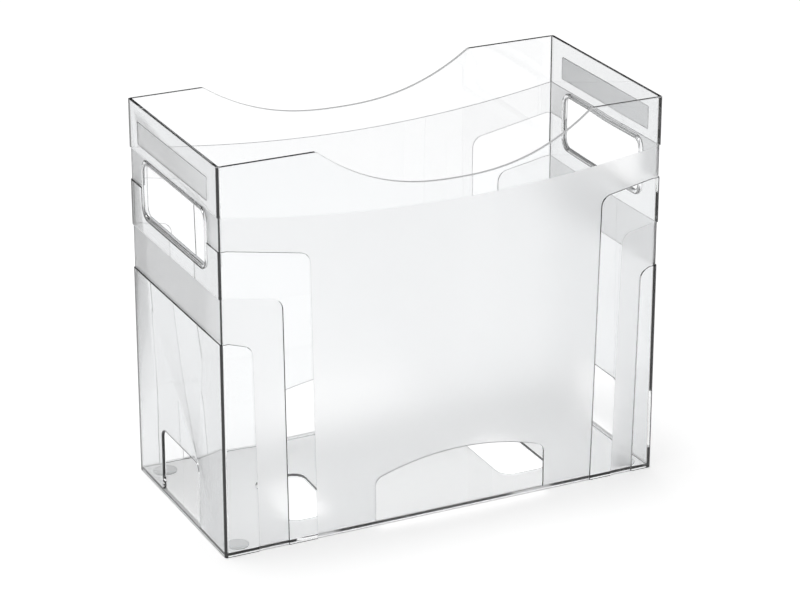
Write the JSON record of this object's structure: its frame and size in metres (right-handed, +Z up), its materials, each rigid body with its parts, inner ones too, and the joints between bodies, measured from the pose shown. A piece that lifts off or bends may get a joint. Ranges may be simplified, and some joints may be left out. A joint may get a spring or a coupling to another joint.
{
  "type": "hanging file box",
  "caption": "Open-top clear plastic desk box for hanging files, with dipped long walls, hand holes in the ends, arched lower edges and label fields.",
  "frame": {"origin": "under the middle of the base, on the surface the box stands on", "axes": "+Z up; +X along the long walls, to the right seen from the front; the front long wall faces -Y"},
  "size_m": [0.39, 0.186, 0.33],
  "materials": {
    "clear_wall": "crystal-clear plastic with satin panels",
    "clear_floor": "crystal-clear plastic",
    "grip_rim": "crystal-clear plastic, rounded",
    "label_window": "clear plastic, faintly satin",
    "foot": "translucent plastic"
  },
  "bodies": {
    "root": {"front_wall": "clear_wall", "back_wall": "clear_wall", "left_end_wall": "clear_wall", "right_end_wall": "clear_wall", "floor_panel": "clear_floor", "left_grip_rim": "grip_rim", "right_grip_rim": "grip_rim", "left_label_window": "label_window", "right_label_window": "label_window", "front_left_foot": "foot", "front_right_foot": "foot", "back_left_foot": "foot", "back_right_foot": "foot"}
  },
  "joints": []
}
